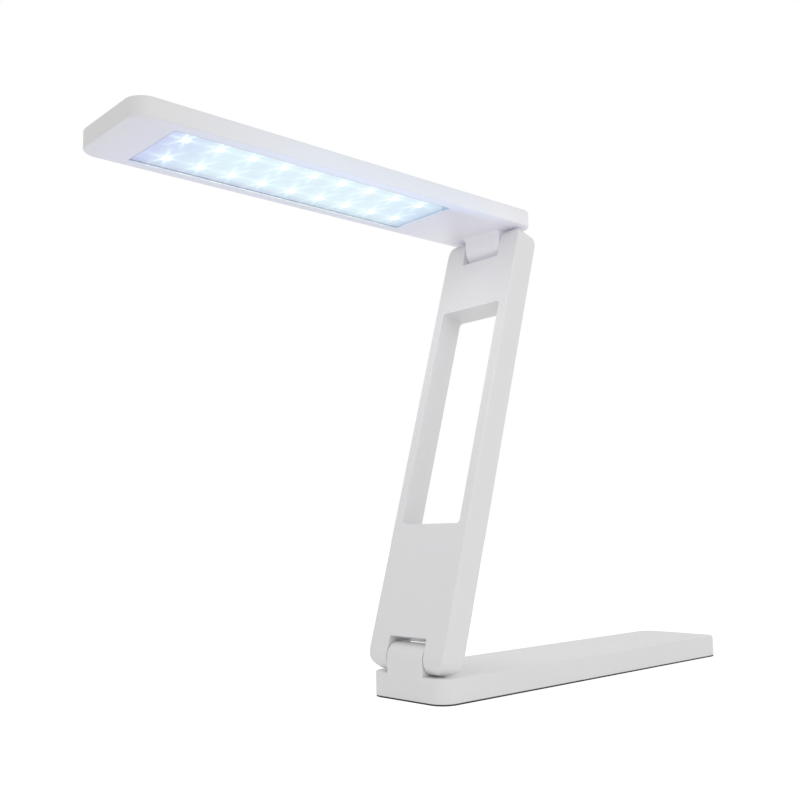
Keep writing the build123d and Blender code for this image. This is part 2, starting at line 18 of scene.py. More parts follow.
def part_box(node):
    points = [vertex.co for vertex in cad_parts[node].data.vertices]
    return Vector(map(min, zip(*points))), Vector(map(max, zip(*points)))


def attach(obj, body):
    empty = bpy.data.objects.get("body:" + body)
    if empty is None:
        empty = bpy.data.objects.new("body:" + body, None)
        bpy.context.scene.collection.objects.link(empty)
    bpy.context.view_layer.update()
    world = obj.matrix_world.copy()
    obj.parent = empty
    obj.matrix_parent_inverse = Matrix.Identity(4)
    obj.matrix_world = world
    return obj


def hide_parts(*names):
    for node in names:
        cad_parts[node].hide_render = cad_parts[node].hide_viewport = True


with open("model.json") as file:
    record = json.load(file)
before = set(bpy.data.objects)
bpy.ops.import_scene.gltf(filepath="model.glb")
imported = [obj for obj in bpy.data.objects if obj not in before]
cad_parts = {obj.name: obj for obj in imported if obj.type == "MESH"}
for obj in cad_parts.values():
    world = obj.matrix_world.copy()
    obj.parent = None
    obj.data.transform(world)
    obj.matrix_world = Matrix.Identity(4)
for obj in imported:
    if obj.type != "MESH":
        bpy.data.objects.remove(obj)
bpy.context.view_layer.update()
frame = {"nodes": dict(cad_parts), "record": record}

log = logging.getLogger("desk_lamp")
MM = 0.001

Pair = tuple[float, float]
Triple = tuple[float, float, float]
Socket = bpy.types.NodeSocket


class Body(Enum):
    """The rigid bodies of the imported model."""

    BASE = "base"
    ARM = "arm"
    HEAD = "head"
    BUTTON = "button"


# -------------------------------------------------------------------------------------------------
# Writing node trees
# -------------------------------------------------------------------------------------------------

class Graph:
    """Adds and joins the nodes of one tree."""

    def __init__(self, tree: bpy.types.NodeTree) -> None:
        """Start on a tree.

        Args:
            tree: The shader, group or geometry tree to write in.
        """
        self.tree = tree

    def add(self, kind: str, values: dict | None = None, **settings: object) -> bpy.types.Node:
        """Add one node.

        Args:
            kind: The node's type name.
            values: Input names or numbers, each with a plain value or a socket to join it to.
            **settings: Properties of the node itself.

        Returns:
            The new node.
        """
        node = self.tree.nodes.new(kind)
        for name, setting in settings.items():
            setattr(node, name, setting)
        for name, value in (values or {}).items():
            self.put(node.inputs[name], value)
        return node

    def put(self, target: Socket, value: object) -> None:
        """Give an input a value, or join it to a socket.

        Args:
            target: The input.
            value: A plain value or an output socket.
        """
        if isinstance(value, Socket):
            self.tree.links.new(value, target)
        else:
            target.default_value = value

    def calc(self, operation: str, *values: object) -> Socket:
        """Add a Math node.

        Args:
            operation: The Math operation.
            *values: One to three numbers or sockets.

        Returns:
            The result socket.
        """
        node = self.add("ShaderNodeMath", dict(enumerate(values)), operation=operation)
        return node.outputs[0]

    def product(self, *values: object) -> Socket:
        """Multiply several values.

        Args:
            *values: Two or more numbers or sockets.

        Returns:
            The product.
        """
        total = values[0]
        for value in values[1:]:
            total = self.calc("MULTIPLY", total, value)
        return total

    def length(self, across: object, along: object) -> Socket:
        """Measure the straight way to a point.

        Args:
            across: How far it is one way.
            along: How far it is the other way.

        Returns:
            The distance.
        """
        squares = [self.calc("POWER", leg, 2.0) for leg in (across, along)]
        return self.calc("SQRT", self.calc("ADD", *squares))

    def fall_off(self, away: object, reach: float) -> Socket:
        """Let an effect die away with distance.

        Args:
            away: The distance.
            reach: Where about a third of the effect is left.

        Returns:
            The share that is left, 1 at no distance.
        """
        return self.calc("EXPONENT", self.calc("DIVIDE", away, -reach))

    def axes(self, place: object) -> bpy.types.NodeOutputs:
        """Split coordinates.

        Args:
            place: The coordinates.

        Returns:
            The X, Y and Z sockets.
        """
        return self.add("ShaderNodeSeparateXYZ", {0: place}).outputs

    def blend(self, factor: object, first: object, second: object,
              how: str = "MIX") -> Socket:
        """Mix two colours.

        Args:
            factor: The share of the second colour.
            first: The first colour or socket.
            second: The second colour or socket.
            how: The blend type.

        Returns:
            The mixed colour.
        """
        node = self.add("ShaderNodeMix", {0: factor, 6: first, 7: second}, data_type="RGBA", blend_type=how)
        return node.outputs[2]

    def noise(self, place: object, scale: float, detail: float = 2.0) -> Socket:
        """Add a Noise texture.

        Args:
            place: The coordinates.
            scale: Waves per metre.
            detail: Octaves.

        Returns:
            The noise value, from 0 to 1.
        """
        node = self.add("ShaderNodeTexNoise", {"Vector": place, "Scale": scale, "Detail": detail})
        return node.outputs[0]

    def remap(self, value: object, low: float, high: float, start: float,
              end: float) -> Socket:
        """Map a range of values to another, clamped.

        Args:
            value: The value to map.
            low: The value that becomes start.
            high: The value that becomes end.
            start: The lowest result.
            end: The highest result.

        Returns:
            The mapped value.
        """
        node = self.add("ShaderNodeMapRange", {0: value, 1: low, 2: high, 3: start, 4: end})
        return node.outputs[0]


def shade_group(name: str, inputs: dict[str, tuple[str, object]],
                outputs: dict[str, str]) -> tuple[Graph, dict, bpy.types.Node]:
    """Start a shader node group with named sockets.

    Args:
        name: The group's name.
        inputs: Input names, each with its kind (Float, Color or Vector) and its usual value.
        outputs: Output names, each with its kind.

    Returns:
        The group's graph, its inputs by name and its output node.
    """
    tree = bpy.data.node_groups.new(name, "ShaderNodeTree")
    for label, (kind, usual) in inputs.items():
        socket = tree.interface.new_socket(label, in_out="INPUT", socket_type=f"NodeSocket{kind}")
        if kind != "Vector":
            socket.default_value = usual
    for label, kind in outputs.items():
        tree.interface.new_socket(label, in_out="OUTPUT", socket_type=f"NodeSocket{kind}")
    graph = Graph(tree)
    entry = graph.add("NodeGroupInput")
    return graph, {label: entry.outputs[label] for label in inputs}, graph.add("NodeGroupOutput")


def moulded_skin() -> bpy.types.NodeTree:
    """Build the group for the faint waviness and handling marks of a moulded surface.

    Returns:
        The node group, with a colour, a roughness and a height.
    """
    graph, given, out = shade_group(
        "moulded_skin",
        {"Place": ("Vector", None), "Color": ("Color", (0.8, 0.8, 0.8, 1)), "Shade": ("Float", 0.03),
         "Gloss": ("Float", 0.2), "Smudge": ("Float", 0.1), "Grain": ("Float", 900.0)},
        {"Color": "Color", "Roughness": "Float", "Height": "Float"})
    cloud_scale, smear_scale, sway_scale = 38.0, 110.0, 160.0
    smear_start, smear_full = 0.52, 0.74
    shadow_tint = (0.62, 0.62, 0.66, 1)
    grain_share = 0.25
    cloud = graph.noise(given["Place"], cloud_scale, 3.0)
    smear = graph.noise(given["Place"], smear_scale, 5.0)
    grain = graph.noise(given["Place"], given["Grain"], 2.0)
    patch = graph.remap(smear, smear_start, smear_full, 0.0, 1.0)
    darker = graph.blend(given["Shade"], given["Color"], shadow_tint, "MULTIPLY")
    tint = graph.blend(cloud, given["Color"], darker)
    rough = graph.calc("MULTIPLY_ADD", patch, given["Smudge"], given["Gloss"])
    sway = graph.noise(given["Place"], sway_scale, 1.0)
    height = graph.calc("MULTIPLY_ADD", grain, grain_share, sway)
    graph.put(out.inputs["Color"], tint)
    graph.put(out.inputs["Roughness"], rough)
    graph.put(out.inputs["Height"], height)
    return graph.tree


def worked_metal() -> bpy.types.NodeTree:
    """Build the group for drawn or rolled metal with fine lines and dull patches.

    Returns:
        The node group, with a colour, a roughness and a height.
    """
    graph, given, out = shade_group(
        "worked_metal",
        {"Place": ("Vector", None), "Color": ("Color", (0.5, 0.5, 0.5, 1)), "Gloss": ("Float", 0.25),
         "Stain": ("Float", 0.3), "Lines": ("Float", 4000.0)},
        {"Color": "Color", "Roughness": "Float", "Height": "Float"})
    along_y = (1.0, 0.04, 1.0)
    patch_scale, patch_start, patch_full = 260.0, 0.45, 0.75
    stain_color, stain_roughness = (0.2, 0.17, 0.14, 1), 0.5
    stretch = graph.add("ShaderNodeMapping", {"Vector": given["Place"], "Scale": along_y})
    lines = graph.noise(stretch.outputs[0], given["Lines"], 2.0)
    cloud = graph.noise(given["Place"], patch_scale, 4.0)
    patch = graph.remap(cloud, patch_start, patch_full, 0.0, 1.0)
    share = graph.calc("MULTIPLY", patch, given["Stain"])
    graph.put(out.inputs["Color"], graph.blend(share, given["Color"], stain_color))
    graph.put(out.inputs["Roughness"], graph.calc("MULTIPLY_ADD", share, stain_roughness, given["Gloss"]))
    graph.put(out.inputs["Height"], lines)
    return graph.tree


MOULDED_SKIN = moulded_skin()
WORKED_METAL = worked_metal()


class Dressing:
    """A material under construction: its graph, its shader and its place on the piece."""

    def __init__(self, name: str) -> None:
        """Start a material.

        Args:
            name: The material's name.
        """
        self.material = bpy.data.materials.new(name)
        self.material.use_nodes = True
        self.graph = Graph(self.material.node_tree)
        self.shader = self.material.node_tree.nodes["Principled BSDF"]
        self.place = self.graph.add("ShaderNodeTexCoord").outputs["Object"]

    def set(self, **values: object) -> None:
        """Give the shader's inputs their values. Underscores in the names stand for spaces."""
        for name, value in values.items():
            self.graph.put(self.shader.inputs[name.replace("_", " ")], value)

    def group(self, tree: bpy.types.NodeTree, **values: object) -> bpy.types.Node:
        """Place a shared effect.

        Args:
            tree: The node group.
            **values: The group's inputs.

        Returns:
            The group node.
        """
        node = self.graph.add("ShaderNodeGroup", node_tree=tree)
        self.graph.put(node.inputs["Place"], self.place)
        for name, value in values.items():
            self.graph.put(node.inputs[name], value)
        return node

    def moulded(self, color: Triple, gloss: float, smudge: float, shade: float = 0.05,
                grain: float = 900.0, depth: float = 0.004 * MM, strength: float = 1.0) -> None:
        """Cover the surface with a moulded skin.

        Args:
            color: Its colour.
            gloss: The roughness where it is clean.
            smudge: How much rougher the dull patches are.
            shade: How much darker the cloudy patches are.
            grain: Waves of the fine grain per metre.
            depth: How deep the grain is, in metres.
            strength: The share of the grain's effect.
        """
        cover = self.group(MOULDED_SKIN, Color=(*color, 1), Shade=shade, Gloss=gloss, Smudge=smudge,
                           Grain=grain)
        self.set(Base_Color=cover.outputs["Color"], Roughness=cover.outputs["Roughness"])
        self.bump(cover.outputs["Height"], depth, strength)

    def bump(self, height: Socket, depth: float, strength: float = 1.0) -> None:
        """Feed a height into the shader's normal.

        Args:
            height: The height socket.
            depth: How deep a height of 1 is, in metres.
            strength: The share of the effect.
        """
        node = self.graph.add("ShaderNodeBump", {"Height": height, "Distance": depth, "Strength": strength})
        self.set(Normal=node.outputs[0])


# -------------------------------------------------------------------------------------------------
# Finishes
# -------------------------------------------------------------------------------------------------

PLASTIC_IOR = 1.5


@dataclass(frozen=True)
class MouldedPlastic:
    """Injection-moulded plastic with a faint waviness and a few dull patches."""

    name: str
    color: Triple
    gloss: float = 0.2
    smudge: float = 0.08
    shade: float = 0.05
    grain: float = 900.0
    depth: float = 0.004 * MM
    specular: float = 0.5

    def make(self) -> bpy.types.Material:
        """Build the material.

        Returns:
            The material.
        """
        skin = Dressing(self.name)
        skin.moulded(self.color, self.gloss, self.smudge, self.shade, self.grain, self.depth)
        skin.set(IOR=PLASTIC_IOR, Specular_IOR_Level=self.specular)
        return skin.material


@dataclass(frozen=True)
class LitShell:
    """The head's white shell, with painted light: an emitted glow that stands for the window's light falling
    on it.

    Its underside has a painted blue glow round the window. Its near side and the edge beside it have a
    painted pale blue glow that fades towards the free end. Its hinge end has a faint painted lavender glow.
    """

    name: str
    color: Triple
    middle: Triple
    half_length: float
    half_width: float
    # Painted light: the reach, colours, strengths, bands and fades below shape an emitted glow that stands
    # for the window's light on the shell.
    reach: float = 26 * MM
    under_color: Triple = (0.22, 0.34, 1.0)
    under_glow: float = 0.13
    under_edge: Pair = (0.1 * MM, 0.3 * MM)
    side_color: Triple = (0.38, 0.64, 1.0)
    side_glow: float = 0.22
    side_band: float = 3 * MM
    fade_start: float = 10 * MM
    fade_length: float = 60 * MM
    top_share: float = 0.7
    depth: float = 7.5 * MM
    painted_hinge_glow_color: Triple = (0.92, 0.88, 1.0)
    painted_hinge_glow: float = 0.10
    painted_hinge_glow_length: float = 26 * MM
    gloss: float = 0.34
    smudge: float = 0.08
    specular: float = 0.25

    def make(self) -> bpy.types.Material:
        """Build the material.

        Returns:
            The material.
        """
        skin = Dressing(self.name)
        skin.moulded(self.color, self.gloss, self.smudge)
        skin.set(IOR=PLASTIC_IOR, Specular_IOR_Level=self.specular, Emission_Color=self.glow(skin),
                 Emission_Strength=1.0)
        return skin.material

    def glow(self, skin: Dressing) -> Socket:
        """Work out the painted glow: emitted colour that stands for the window's light falling on the shell.

        Args:
            skin: The material under construction.

        Returns:
            The colour of the glow.
        """
        graph = skin.graph
        start = tuple(-v for v in self.middle)
        spot = graph.add("ShaderNodeMapping", {"Vector": skin.place, "Location": start})
        along, across, height = graph.axes(spot.outputs[0])
        beyond = [graph.calc("MAXIMUM", graph.calc("SUBTRACT", graph.calc("ABSOLUTE", axis), half), 0.0)
                  for axis, half in ((along, self.half_length), (across, self.half_width))]
        near = graph.fall_off(graph.length(*beyond), self.reach)
        low = graph.remap(height, 0.0, self.depth, 1.0, self.top_share)
        beneath = graph.remap(height, *self.under_edge, 1.0, 0.0)
        under = graph.blend(graph.product(near, beneath, self.under_glow), (0, 0, 0, 1),
                            (*self.under_color, 1))
        inward = graph.remap(along, -self.half_length - self.fade_start, -self.half_length + self.fade_length,
                             0.0, self.side_glow)
        beside = graph.remap(across, -self.half_width - self.side_band, -self.half_width + self.side_band,
                             1.0, 0.0)
        with_side = graph.blend(graph.product(near, low, inward, beside), under, (*self.side_color, 1), "ADD")
        # Painted lavender glow at the hinge end, fading in from the window's end.
        hinge_end = graph.remap(along, self.half_length, self.half_length + self.painted_hinge_glow_length, 0.0, self.painted_hinge_glow)
        return graph.blend(graph.product(hinge_end, low), with_side, (*self.painted_hinge_glow_color, 1), "ADD")


@dataclass(frozen=True)
class ClearAcrylic:
    """Clear cast plastic of the window."""

    name: str
    color: Triple
    gloss: float = 0.03
    smudge: float = 0.03
    shade: float = 0.02
    grain: float = 400.0
    depth: float = 0.001 * MM
    ior: float = 1.49

    def make(self) -> bpy.types.Material:
        """Build the material.

        Returns:
            The material.
        """
        skin = Dressing(self.name)
        skin.moulded(self.color, self.gloss, self.smudge, self.shade, self.grain, self.depth, 0.5)
        skin.set(IOR=self.ior, Transmission_Weight=1.0)
        return skin.material


@dataclass(frozen=True)
class LightGrid:
    """Where the two staggered rows of lights are."""

    middle_x: float
    columns: int = 9
    pitch: float = 14.1 * MM
    row_spacing: float = 19.2 * MM
    row_shift: float = 3.0 * MM

    def distances(self, skin: Dressing) -> tuple[Socket, Socket,
                                                 Socket]:
        """Measure from a point of a surface to the nearest light.

        Args:
            skin: The material that needs the distances.

        Returns:
            The distances along X and Y, and the place along X from the grid's middle.
        """
        graph = skin.graph
        x, y, _ = graph.axes(skin.place)
        along = graph.calc("SUBTRACT", x, self.middle_x)
        shifted = graph.calc("MULTIPLY_ADD", graph.calc("SIGN", y), -self.row_shift / 2, along)
        step = graph.calc("ROUND", graph.calc("DIVIDE", shifted, self.pitch))
        last = (self.columns - 1) / 2
        held = graph.calc("MINIMUM", graph.calc("MAXIMUM", step, -last), last)
        across = graph.calc("MULTIPLY_ADD", held, -self.pitch, shifted)
        beside = graph.calc("SUBTRACT", graph.calc("ABSOLUTE", y), self.row_spacing / 2)
        return across, beside, along


@dataclass(frozen=True)
class LitBoard:
    """White reflector board behind the window, with painted light: an emitted wash that stands for the
    lights' spill on it, and a painted glint star round each light.
    """

    name: str
    grid: LightGrid
    half_length: float
    half_width: float
    # The board is white, but its own colour is set dark grey as painted shade, so that it throws back little
    # light; its look comes from the emitted painted light.
    base_color: Triple = (0.26, 0.29, 0.32)
    middle_color: Triple = (0.66, 0.90, 1.0)
    free_end_color: Triple = (0.30, 0.34, 0.92)
    hinge_end_color: Triple = (0.36, 0.62, 0.95)
    painted_glint_color: Triple = (1.3, 1.65, 1.65)
    level: float = 0.60
    end_fade: Pair = (0.60, 1.02)
    side_fade: Pair = (0.72, 1.05)
    side_share: float = 0.7
    mottle_scale: float = 240.0
    mottle: Pair = (0.94, 1.04)
    # Painted glint round each light: a halo and rays of emitted colour.
    halo: float = 0.8
    halo_reach: float = 1.9 * MM
    ray_pairs: float = 3.0
    ray_sharpness: float = 7.0
    ray_level: float = 1.3
    ray_reach: float = 3.4 * MM
    row_squash: float = 0.6

    def make(self) -> bpy.types.Material:
        """Build the material.

        Returns:
            The material.
        """
        skin = Dressing(self.name)
        across, row, along = self.grid.distances(skin)
        painted_glint = self.painted_glint(skin.graph, across, row)
        glow = skin.graph.blend(painted_glint, self.wash(skin, row, along), (*self.painted_glint_color, 1))
        skin.set(Base_Color=(*self.base_color, 1), Roughness=0.35, Emission_Color=glow,
                 Emission_Strength=self.level)
        return skin.material

    def painted_glint(self, graph: Graph, across: Socket, row: Socket) -> Socket:
        """Shape the painted glint round a light: its halo and its rays.

        Args:
            graph: The material's graph.
            across: The distance from the light along X.
            row: The distance from it along Y.

        Returns:
            The share of the painted glint's colour.
        """
        beside = graph.calc("MULTIPLY", row, self.row_squash)
        away = graph.length(across, beside)
        turn = graph.calc("MULTIPLY", graph.calc("ARCTAN2", beside, across), self.ray_pairs)
        wave = graph.calc("ABSOLUTE", graph.calc("COSINE", turn))
        spokes = graph.calc("POWER", wave, self.ray_sharpness)
        ray = graph.product(spokes, graph.fall_off(away, self.ray_reach))
        shape = graph.calc("MULTIPLY_ADD", ray, self.ray_level, graph.fall_off(away, self.halo_reach))
        return graph.calc("MULTIPLY", shape, self.halo)

    def wash(self, skin: Dressing, row: Socket, along: Socket) -> Socket:
        """Colour the painted wash of light between the lights, deeper towards the board's edges.

        Args:
            skin: The material under construction.
            row: The distance from the nearest row of lights.
            along: The place along X from the grid's middle.

        Returns:
            The colour.
        """
        graph = skin.graph
        outward = graph.calc("DIVIDE", graph.calc("ABSOLUTE", along), self.half_length)
        sideways = graph.calc("DIVIDE", graph.calc("ADD", row, self.grid.row_spacing / 2), self.half_width)
        deep = graph.calc("MAXIMUM", graph.remap(outward, *self.end_fade, 0.0, 1.0),
                          graph.remap(sideways, *self.side_fade, 0.0, self.side_share))
        at_hinge = graph.remap(along, -self.half_length / 2, self.half_length / 2, 0.0, 1.0)
        end_color = graph.blend(at_hinge, (*self.free_end_color, 1), (*self.hinge_end_color, 1))
        wash = graph.blend(deep, (*self.middle_color, 1), end_color)
        mottle = graph.remap(graph.noise(skin.place, self.mottle_scale, 3.0), 0.3, 0.7, *self.mottle)
        return graph.blend(1.0, wash, mottle, "MULTIPLY")


@dataclass(frozen=True)
class LightSource:
    """Lit phosphor of a light, hottest in its middle. Worn by a light's white frame, the same emission is
    painted light that stands for the phosphor's light on the frame.
    """

    name: str
    grid: LightGrid
    strength: float = 1.2
    core: float = 0.4 * MM
    rim: float = 1.6 * MM
    base_color: Triple = (0.9, 0.85, 0.5)
    core_color: Triple = (1.0, 1.0, 1.0)
    rim_color: Triple = (0.72, 0.93, 1.0)

    def make(self) -> bpy.types.Material:
        """Build the material.

        Returns:
            The material.
        """
        skin = Dressing(self.name)
        graph = skin.graph
        across, beside, _ = self.grid.distances(skin)
        edge = graph.remap(graph.length(across, beside), self.core, self.rim, 0.0, 1.0)
        glow = graph.blend(edge, (*self.core_color, 1), (*self.rim_color, 1))
        skin.set(Base_Color=(*self.base_color, 1), Roughness=0.4, Emission_Color=glow,
                 Emission_Strength=self.strength)
        return skin.material


@dataclass(frozen=True)
class Metal:
    """Bare metal with fine working lines."""

    name: str
    color: Triple
    gloss: float = 0.25
    stain: float = 0.2
    lines: float = 4000.0
    depth: float = 0.003 * MM

    def make(self) -> bpy.types.Material:
        """Build the material.

        Returns:
            The material.
        """
        skin = Dressing(self.name)
        cover = skin.group(WORKED_METAL, Color=(*self.color, 1), Gloss=self.gloss, Stain=self.stain,
                           Lines=self.lines)
        skin.set(Base_Color=cover.outputs["Color"], Roughness=cover.outputs["Roughness"], Metallic=1.0)
        skin.bump(cover.outputs["Height"], self.depth)
        return skin.material


@dataclass(frozen=True)
class CircuitLaminate:
    """Solder-masked board with the faint relief of its tracks and its darker parts on top."""

    name: str
    part_level: float
    mask: Triple = (0.01, 0.12, 0.05)
    track: Triple = (0.02, 0.22, 0.09)
    part_color: Triple = (0.02, 0.02, 0.022)
    track_scale: float = 260.0
    track_share: float = 0.09
    track_softness: float = 0.2
    track_depth: float = 0.03 * MM
    haze_scale: float = 700.0
    gloss: Pair = (0.28, 0.42)

    def make(self) -> bpy.types.Material:
        """Build the material.

        Returns:
            The material.
        """
        skin = Dressing(self.name)
        graph = skin.graph
        lanes = graph.add("ShaderNodeTexBrick", {
            "Vector": skin.place, "Scale": self.track_scale, "Mortar Size": self.track_share,
            "Mortar Smooth": self.track_softness})
        lines = lanes.outputs["Fac"]
        laminate = graph.blend(lines, (*self.mask, 1), (*self.track, 1))
        on_top = graph.calc("GREATER_THAN", graph.axes(skin.place)[2], self.part_level)
        skin.set(Base_Color=graph.blend(on_top, laminate, (*self.part_color, 1)),
                 Roughness=graph.remap(graph.noise(skin.place, self.haze_scale), 0.3, 0.7, *self.gloss))
        skin.bump(lines, self.track_depth, 0.6)
        return skin.material


# -------------------------------------------------------------------------------------------------
# Making pieces
# -------------------------------------------------------------------------------------------------

def dress(node: str, material: bpy.types.Material) -> None:
    """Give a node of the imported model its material.

    Args:
        node: The node's name.
        material: The finish.
    """
    piece = frame["nodes"][node]
    piece.data.materials.clear()
    piece.data.materials.append(material)
    log.info("%s wears %s", node, material.name)


def dress_board(node: str, finish: str) -> None:
    """Give a circuit board its laminate, with dark parts above its upper face.

    Args:
        node: The board's node.
        finish: The material's name.
    """
    thickness = 1.02 * MM
    dress(node, CircuitLaminate(finish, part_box(node)[0].z + thickness).make())


WELD = 0.0005 * MM


def lathe(profile: list[Pair], steps: int = 24) -> bmesh.types.BMesh:
    """Turn a profile round Z into a closed solid.

    Args:
        profile: Radius and height of each point, from the axis and back to it.
        steps: Faces round the axis.

    Returns:
        The solid, with its faces outwards.
    """
    mesh = bmesh.new()
    points = [mesh.verts.new((radius, 0, height)) for radius, height in profile]
    edges = [mesh.edges.new(pair) for pair in zip(points, points[1:])]
    bmesh.ops.spin(mesh, geom=points + edges, cent=(0, 0, 0), axis=(0, 0, 1), angle=2 * math.pi, steps=steps)
    bmesh.ops.remove_doubles(mesh, verts=mesh.verts, dist=WELD)
    bmesh.ops.recalc_face_normals(mesh, faces=mesh.faces)
    return mesh


def soft_block(size: Triple, middle: Triple,
               edge: float) -> bmesh.types.BMesh:
    """Make a block with rounded edges.

    Args:
        size: Its length, width and height.
        middle: Its centre.
        edge: The radius of its edges.

    Returns:
        The block.
    """
    mesh = bmesh.new()
    bmesh.ops.create_cube(mesh, size=1.0, matrix=Matrix.Translation(middle) @ Matrix.Diagonal((*size, 1.0)))
    bmesh.ops.bevel(mesh, geom=mesh.edges, offset=edge, segments=2, profile=0.5, affect="EDGES")
    return mesh


def as_mesh(name: str, form: bmesh.types.BMesh) -> bpy.types.Mesh:
    """Turn a form in progress into a mesh.

    Args:
        name: The mesh's name.
        form: The form, which is freed.

    Returns:
        The mesh.
    """
    mesh = bpy.data.meshes.new(name)
    form.to_mesh(mesh)
    form.free()
    return mesh


def plain_copy(piece: bpy.types.Object) -> bpy.types.Mesh:
    """Read a piece's evaluated mesh, then take its modifiers off.

    Args:
        piece: The piece.

    Returns:
        The finished mesh.
    """
    state = bpy.context.evaluated_depsgraph_get()
    mesh = bpy.data.meshes.new_from_object(piece.evaluated_get(state), preserve_all_data_layers=True,
                                           depsgraph=state)
    piece.modifiers.clear()
    return mesh


def cut(body: bpy.types.Mesh, cutter: bpy.types.Mesh) -> bpy.types.Mesh:
    """Cut one form out of another.

    Args:
        body: The form that stays.
        cutter: The form that is taken away.

    Returns:
        What is left.
    """
    pair = [bpy.data.objects.new(mesh.name, mesh) for mesh in (body, cutter)]
    for one in pair:
        bpy.context.scene.collection.objects.link(one)
    knife = pair[0].modifiers.new("cut", "BOOLEAN")
    knife.operation = "DIFFERENCE"
    knife.solver = "EXACT"
    knife.object = pair[1]
    left = plain_copy(pair[0])
    for one in pair:
        bpy.data.objects.remove(one)
    return left


class GridRepeater:
    """Geometry Nodes tree that sets copies of a unit on a grid, turns and places them, and dresses them."""

    INPUTS = {"Unit": "Geometry", "Columns": "Int", "Rows": "Int", "Length": "Float", "Width": "Float",
              "Row Shift": "Float", "Turn": "Vector", "Place": "Vector", "Finish": "Material"}

    def __init__(self) -> None:
        """Write the tree."""
        self.tree = bpy.data.node_groups.new("repeat_on_grid", "GeometryNodeTree")
        face = self.tree.interface
        self.sockets = {label: face.new_socket(label, in_out="INPUT", socket_type=f"NodeSocket{kind}")
                        for label, kind in self.INPUTS.items()}
        face.new_socket("Pieces", in_out="OUTPUT", socket_type="NodeSocketGeometry")
        graph = Graph(self.tree)
        given = graph.add("NodeGroupInput").outputs
        grid = graph.add("GeometryNodeMeshGrid", {
            "Size X": given["Length"], "Size Y": given["Width"],
            "Vertices X": given["Columns"], "Vertices Y": given["Rows"]})
        side = graph.calc("SIGN", graph.axes(graph.add("GeometryNodeInputPosition").outputs[0])[1])
        slide = graph.product(side, given["Row Shift"], 0.5)
        offset = graph.add("ShaderNodeCombineXYZ", {0: slide})
        moved = graph.add("GeometryNodeSetPosition", {
            "Geometry": grid.outputs["Mesh"], "Offset": offset.outputs[0]})
        copies = graph.add("GeometryNodeInstanceOnPoints", {
            "Points": moved.outputs[0], "Instance": given["Unit"]})
        turned = graph.add("GeometryNodeTransform", {
            "Geometry": copies.outputs[0], "Rotation": given["Turn"], "Translation": given["Place"]})
        solid = graph.add("GeometryNodeRealizeInstances", {"Geometry": turned.outputs[0]})
        dressed = graph.add("GeometryNodeSetMaterial", {
            "Geometry": solid.outputs[0], "Material": given["Finish"]})
        graph.add("NodeGroupOutput", {"Pieces": dressed.outputs[0]})

    def make(self, name: str, unit: bpy.types.Mesh, finish: bpy.types.Material, body: Body, slot: str,
             **values: object) -> bpy.types.Object:
        """Repeat a unit and hand it over as one plain piece.

        Args:
            name: The piece's name.
            unit: The mesh of one copy.
            finish: Its material.
            body: The body that carries the piece.
            slot: The name of a material slot. It is not used.
            **values: The tree's other inputs, with underscores for spaces.

        Returns:
            The piece.
        """
        piece = bpy.data.objects.new(name, unit)
        bpy.context.scene.collection.objects.link(piece)
        modifier = piece.modifiers.new("repeat", "NODES")
        modifier.node_group = self.tree
        for label, value in {"Finish": finish, **values}.items():
            modifier[self.sockets[label.replace("_", " ")].identifier] = value
        piece.data = plain_copy(piece)
        piece.data.name = name
        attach(piece, body.value)
        log.info("%s has %d faces", name, len(piece.data.polygons))
        return piece


# -------------------------------------------------------------------------------------------------
# Sub-assemblies
# -------------------------------------------------------------------------------------------------

WHITE = (0.755, 0.745, 0.752)


@dataclass(frozen=True)
class CountersunkScrew:
    """One countersunk screw with a cross recess and a rolled thread. Its head is just below z = 0."""

    head: float = 1.8 * MM
    shank: float = 0.9 * MM
    root: float = 0.72 * MM
    length: float = 5.0 * MM
    sunk: float = 0.02 * MM
    rim: float = 0.12 * MM
    neck: float = 0.4 * MM
    pitch: float = 0.7 * MM
    flank: float = 0.3
    trough: float = 0.5
    crest: float = 0.8
    tip: float = 0.2
    recess_depth: float = 0.95 * MM
    recess_reach: float = 1.1 * MM
    recess_width: float = 0.42 * MM
    recess_taper: float = 0.45
    recess_over: float = 0.2 * MM
    faces: int = 20

    def unit(self) -> bpy.types.Mesh:
        """Make the mesh of one screw.

        Returns:
            The mesh, with its head upwards.
        """
        under_head = -(self.head - self.shank) - self.rim
        low = under_head - self.neck
        profile = [(0, -self.sunk), (self.head - self.rim, -self.sunk), (self.head, -self.rim),
                   (self.shank, under_head), (self.shank, low)]
        while low - self.pitch > -self.length + self.shank:
            profile += [(radius, low - share * self.pitch)
                        for radius, share in ((self.root, self.flank), (self.root, self.trough),
                                              (self.shank, self.crest), (self.shank, 1.0))]
            low -= self.pitch
        profile += [(self.root, low - self.tip * self.pitch), (0, -self.length)]
        return cut(as_mesh("screw_blank", lathe(profile, self.faces)), as_mesh("screw_recess", self.cross()))

    def cross(self) -> bmesh.types.BMesh:
        """Make the tapered cross that the driver's recess is cut with.

        Returns:
            The cross as one closed form.
        """
        wide, thin = self.recess_reach, self.recess_width / 2
        quarter = [(wide, thin), (thin, thin), (thin, wide)]
        outline = quarter + [(-x, y) for x, y in reversed(quarter)]
        outline += [(-x, -y) for x, y in outline]
        mesh = bmesh.new()
        above = [mesh.verts.new((x, y, self.recess_over)) for x, y in outline]
        below = [mesh.verts.new((self.recess_taper * x, self.recess_taper * y, -self.recess_depth))
                 for x, y in outline]
        mesh.faces.new(above)
        mesh.faces.new(below)
        for i in range(len(outline)):
            j = (i + 1) % len(outline)
            mesh.faces.new((above[i], above[j], below[j], below[i]))
        bmesh.ops.recalc_face_normals(mesh, faces=mesh.faces)
        return mesh


